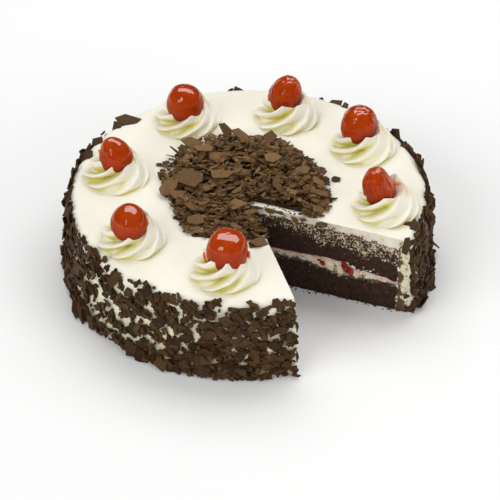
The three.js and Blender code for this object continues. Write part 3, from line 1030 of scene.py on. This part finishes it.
def strewn():
    """The shavings as they were strewn: the finest first, the largest on top, and a few over the edge."""
    rng = random.Random(5)
    bm = bmesh.new()
    bm.verts.layers.float.new("tone_and_painted_shade")
    for count, lengths, widths, slope, farthest, paleness in SHAVING_KINDS:
        placed = 0
        while placed < count:
            angle = rng.uniform(0, math.tau)
            share = math.sqrt(rng.random()) * farthest
            edge = heap_reach(angle) * (1 + 0.04 * noise.noise(heading(angle) * 14))
            spot = heading(angle) * edge * share
            length = rng.uniform(*lengths) * MM
            if not inside_cuts(spot, -0.1 * length) or swept_bare(spot, length):
                continue
            buried = rng.random()  # 0 on top of the heap, 1 deep in it
            rise = heap_top(spot.x, spot.y) * (1.1 - 0.7 * buried) + rng.uniform(0.4, 1.2) * MM
            tilt = abs(rng.gauss(0, math.radians(slope)))
            # painted shade: the deeper a shaving lies in the heap, the darker it is
            tone_and_painted_shade = rng.uniform(*paleness) if paleness else (1 - buried) * rng.uniform(0.35, 1)
            width = length * rng.uniform(*widths)
            lay_shaving(bm, rng, spot, rise, length, width, tilt, rng.uniform(0, math.tau), tone_and_painted_shade)
            placed += 1
    for x, y, length, width, tilt, lean_way, tone_and_painted_shade in BIG_SHAVINGS:
        spot = Vector((x, y, 0)) * MM
        rise = heap_top(spot.x, spot.y) + 1.8 * MM
        tilt, lean_way = math.radians(tilt), math.radians(lean_way)
        lay_shaving(bm, rng, spot, rise, length * MM, width * MM, tilt, lean_way, tone_and_painted_shade)
    along_cut = math.atan2(RIGHT_CUT.y, RIGHT_CUT.x)
    for out, down, length, width in HANGING_SHAVINGS:
        spot = (TIP + RIGHT_CUT * out * MM + CUTS[0][1] * 0.5 * MM).to_3d()
        drop = (down + 0.25 * length) * MM
        lay_shaving(bm, rng, spot, -drop, length * MM, width * MM, HANGING_TILT, along_cut, 0.7)
    return bm


TOP_CHOCOLATE = chocolate_material("top_chocolate", dark=(0.030, 0.013, 0.003), light=(0.240, 0.130, 0.050),
                                   dust=(0.36, 0.24, 0.135))
show("heap_core", heap_core(), TOP_CHOCOLATE, "chocolate", "shavings_heap")
show("top_shavings", strewn(), TOP_CHOCOLATE, "chocolate", sharp=30)

# ---- What the knife pulled out ---------------------------------------------------------
# Halved cherries from the filling show at the cuts, and soft cream was dragged out in lumps and curls: at
# the tip, under the top, and down the outer ends, where it caught some crumbs.


def on_face(cut, out, height, proud=0.0):
    """A point on a cut face, that far from the tip and that high, and standing a little proud of it."""
    direction, into_gap = CUTS[cut]
    return (TIP + direction * out + into_gap * proud).to_3d() + Vector((0, 0, height))


def lump(rng, size, smoothness=2):
    """A soft rounded lump of that length, width and thickness."""
    bm = bmesh.new()
    bmesh.ops.create_icosphere(bm, subdivisions=smoothness, radius=0.5)
    shift = Vector((rng.uniform(0, 90), 0, 0))
    for v in bm.verts:
        v.co *= 1 + 0.6 * noise.noise(v.co * 2.6 + shift)
        v.co = Vector((v.co.x * size[0], v.co.y * size[1], v.co.z * size[2]))
    return bm


def against_face(cut, centre, spin):
    """Lays a lump's flat side on a cut face, its length turned from level by a spin."""
    direction, into_gap = CUTS[cut]
    turn = Matrix((direction.to_3d(), (0, 0, 1), into_gap.to_3d())).transposed()
    return Matrix.Translation(centre) @ (turn @ Matrix.Rotation(spin, 3, "Z")).to_4x4()


# cut (0 the right one, 1 the left), distance out, height, then width, height and thickness, all in mm
CHERRY_CHUNKS = (
    (0, 60.8, 24.2, 4.6, 6.0, 3.6), (0, 63.6, 22.2, 4.2, 5.4, 3.2), (0, 64.6, 18.8, 2.2, 2.6, 2.0),
    (0, 60, 27.4, 3, 2.2, 2), (0, 46.5, 23.6, 3.2, 3.2, 2.2), (0, 44.2, 25.4, 2.4, 1.4, 1.4),
    (1, 40, 24, 5, 7, 3), (1, 71, 22.5, 4, 4, 2.2),
)
# the same for clots of cream, with the number of lumps in each and how far they are scattered
CREAM_CLOTS = (
    (0, 7, 52.5, 4, 2.6, 1.8, 8, 3.5), (0, 17, 52.5, 4.5, 2.6, 1.8, 10, 5), (0, 28, 52, 4, 2.4, 1.4, 8, 4),
    (0, 66.5, 25.2, 2.2, 2.6, 1.4, 5, 1.6), (0, 61, 27.5, 2, 1.2, 1, 4, 2),
    (0, 75, 23.6, 1.5, 0.8, 0.8, 26, 9), (0, 85, 36, 1.6, 0.35, 0.4, 8, 3.5),
    (0, 101, 11, 2.2, 0.6, 0.8, 24, 5), (0, 102, 18, 2.4, 0.6, 0.7, 22, 5),
    (0, 102.5, 25, 2.2, 0.6, 0.7, 14, 4), (0, 99, 32, 1.8, 0.6, 0.7, 14, 7), (0, 96, 42, 2, 0.7, 0.7, 12, 5),
    (1, 12, 52, 4.0, 2.2, 1.3, 7, 5), (1, 60, 25, 2.2, 0.9, 0.9, 14, 12), (1, 90, 20, 2.2, 0.6, 0.7, 26, 7),
)

rng = random.Random(21)
chunks = bmesh.new()
for cut, out, height, wide, tall, thick in CHERRY_CHUNKS:
    part = lump(rng, (wide * MM, tall * MM, thick * MM), 4)
    add_part(chunks, part, against_face(cut, on_face(cut, out * MM, height * MM, 0.5 * MM), 0.2))
CHUNK = new_material("cherry_chunk", Base_Color=(0.24, 0.010, 0.006, 1), Roughness=0.3, Coat_Weight=0.2)
show("cherry_chunks", chunks, CHUNK, "preserve")

clots = bmesh.new()
for cut, out, height, wide, tall, thick, count, spread in CREAM_CLOTS:
    for _ in range(count):
        size = rng.uniform(0.5, 1.2)
        part = lump(rng, (wide * size * MM, tall * size * MM, thick * size * MM))
        along, up = out + rng.gauss(0, spread / 2.5), height + rng.gauss(0, min(3, spread / 6))
        add_part(clots, part, against_face(cut, on_face(cut, along * MM, up * MM), rng.gauss(0, 0.7)))
# a faint, even touch of the painted fold shade over the clots
paint(clots, "painted_fold_shade", lambda p: 0.12)
paint(clots, "crumbs", lambda p: 0.30 + 0.2 * ripple(p, 3))
show("dragged_cream", clots, CREAM, "cream")

# ---- Loose flakes and crumbs -----------------------------------------------------------
# Flakes that fell beside the heap or on the rim, or cling to the cuts' outer ends, and crumbs of sponge
# under the cut faces and on the bare cream by the tip.

# where the fallen flakes lie in mm, their length and width in mm, and their slope in degrees
LOOSE_FLAKES = (
    (16, -51, 9, 5, 6), (-89, 53, 13, 9, 14), (-94, 46, 9, 6, 20), (-101, 28, 8, 6, 30), (-104, 12, 8, 5, 30),
    (-30, 104, 8, 5, 25), (33, 101, 9, 5, 20), (39, 98, 7, 5, 25), (76, 77, 8, 5, 30), (84, 65, 8, 5, 30),
    (101, -9, 9, 7, 14), (104, -13, 6, 4, 30), (50, -24, 6, 4, 12), (-58, 12, 5, 3, 10), (49, 21, 6, 4, 14),
)
# flakes that cling to a cut face: cut, distance out, height, length and width, all in mm, and spin in
# degrees
FACE_FLAKES = (
    (0, 98.6, 51, 11.5, 4, 80), (0, 103.6, 41, 9, 4.6, 55), (0, 104.2, 29, 7, 3.2, 85),
    (0, 99.5, 12.5, 4, 2, 45),
    (0, 104, 6.5, 9.5, 5.4, 70), (0, 105, 18, 6, 3.4, 70), (1, 93, 34, 8, 4.2, 60), (1, 93.5, 12, 8, 4.2, 80),
    (0, 103, 36, 7.5, 3.2, 100), (0, 103, 23.5, 6.5, 2.8, 75), (0, 101.8, 46, 6, 2.8, 100),
    (0, 101.5, 3.5, 6.5, 4, 20),
)
SLOPING = math.radians(193)  # the way that the fallen flakes lean
CRUMB_COUNT = 120
CRUMB_CORNERS = 12  # of the coarse ball that a crumb is made from

rng = random.Random(8)
loose = bmesh.new()
loose.verts.layers.float.new("tone_and_painted_shade")
for x, y, length, width, slope in LOOSE_FLAKES:
    spot = Vector((x, y, 0)) * MM
    rise = cream_surface(spot.x, spot.y) - CREAM_TOP + 0.6 * MM
    tone_and_painted_shade = rng.uniform(0.5, 0.9)
    lay_shaving(loose, rng, spot, rise, length * MM, width * MM, math.radians(slope), SLOPING, tone_and_painted_shade)
for cut, out, height, length, width, spin in FACE_FLAKES:
    flake = chip(rng, length * MM, width * MM, 1 * MM, 0.05 * length * MM)
    where = against_face(cut, on_face(cut, out * MM, height * MM, 1 * MM), math.radians(spin))
    add_chip(loose, flake, where, rng.uniform(0.1, 0.6))
show("loose_flakes", loose, SIDE_CHOCOLATE, "chocolate", sharp=30)

crumbs = bmesh.new()
while len(crumbs.verts) < CRUMB_CORNERS * CRUMB_COUNT:
    cut = rng.choice((0, 0, 1))
    size = rng.uniform(0.5, 1.5) * MM
    on_floor = rng.random() < 0.85
    out = rng.uniform(6, 98 - 7 * cut) if on_floor else rng.uniform(3, 32)
    proud = abs(rng.gauss(0, 1.2)) if on_floor else -abs(rng.gauss(0, 2.2))
    spot = on_face(cut, out * MM, 0, proud * MM)
    spot.z = 0.3 * size if on_floor else cream_surface(spot.x, spot.y) + 0.2 * size
    part = lump(rng, (size, size, 0.7 * size), 1)
    add_part(crumbs, part, Matrix.Translation(spot) @ Matrix.Rotation(rng.uniform(0, math.tau), 4, "Z"))
paint(crumbs, "dragged", lambda p: 0.35)
show("cake_crumbs", crumbs, SPONGE, "sponge")

# ---- The floor, the lights and the camera ----------------------------------------------
# A plain pale floor and a pale surround, with soft lights: a broad one above and behind, a broader one in
# front, a tall thin one whose reflection shows on the cherries, and a small one at the right.


def stage_floor():
    bm = bmesh.new()
    bmesh.ops.create_grid(bm, x_segments=1, y_segments=1, size=6)
    floor = as_object("floor", bm)
    floor.data.materials.append(new_material("pale_floor", Base_Color=(0.92, 0.92, 0.915, 1), Roughness=0.55))


def softbox(name, position, target, width, height, power, glossy=True):
    light = bpy.data.lights.new(name, "AREA")
    light.shape, light.size, light.size_y = "RECTANGLE", width, height
    light.energy = power
    lamp = bpy.data.objects.new(name, light)
    lamp.location = position
    lamp.rotation_euler = (Vector(target) - Vector(position)).to_track_quat("-Z", "Y").to_euler()
    lamp.visible_glossy = glossy
    bpy.context.scene.collection.objects.link(lamp)


stage_floor()
softbox("key", (0.05, 0.80, 1.40), (0, 0, 0.03), 2.1, 1.05, 15)
softbox("strip", (-0.55, -1.70, 1.00), (0, 0, 0.05), 0.25, 1.0, 1.5)
softbox("front", (-1.7, -2.2, 1.9), (0, 0, 0.03), 3.0, 2.0, 48, glossy=False)
softbox("right_card", (1.35, -0.75, 0.75), (0, 0, 0.03), 1.0, 0.8, 7, glossy=False)

world = bpy.data.worlds.new("surround")
world.use_nodes = True
world.node_tree.nodes["Background"].inputs["Color"].default_value = (1, 1, 1, 1)
world.node_tree.nodes["Background"].inputs["Strength"].default_value = 0.42
world.cycles_visibility.glossy = False
bpy.context.scene.world = world
bpy.context.scene.view_settings.view_transform = "Standard"

CAMERA_AZIMUTH, CAMERA_ELEVATION, CAMERA_ROLL = math.radians(13.35), math.radians(37.98), math.radians(-0.47)
CAMERA_DISTANCE = 2.0
LENS = 237.85
# how far right of the middle and above it the cake's own middle stands, as seen by the camera
LOOK_RIGHT, LOOK_UP = -0.8 * MM, 14.17 * MM

back = Vector((
    math.sin(CAMERA_AZIMUTH) * math.cos(CAMERA_ELEVATION),
    -math.cos(CAMERA_AZIMUTH) * math.cos(CAMERA_ELEVATION),
    math.sin(CAMERA_ELEVATION),
))
sideways = Vector((math.cos(CAMERA_AZIMUTH), math.sin(CAMERA_AZIMUTH), 0))
upwards = back.cross(sideways)
middle = Vector((0, 0, CREAM_TOP / 2))
aim = middle - sideways * LOOK_RIGHT - upwards * LOOK_UP
camera = bpy.data.objects.new("camera", bpy.data.cameras.new("camera"))
camera.location = middle + back * CAMERA_DISTANCE
view_turn = (camera.location - aim).to_track_quat("Z", "Y").to_matrix()
camera.rotation_euler = (view_turn @ Matrix.Rotation(CAMERA_ROLL, 3, "Z")).to_euler()
camera.data.lens = LENS
camera.data.sensor_width = 36
camera.data.clip_end = 20
bpy.context.scene.collection.objects.link(camera)
bpy.context.scene.camera = camera
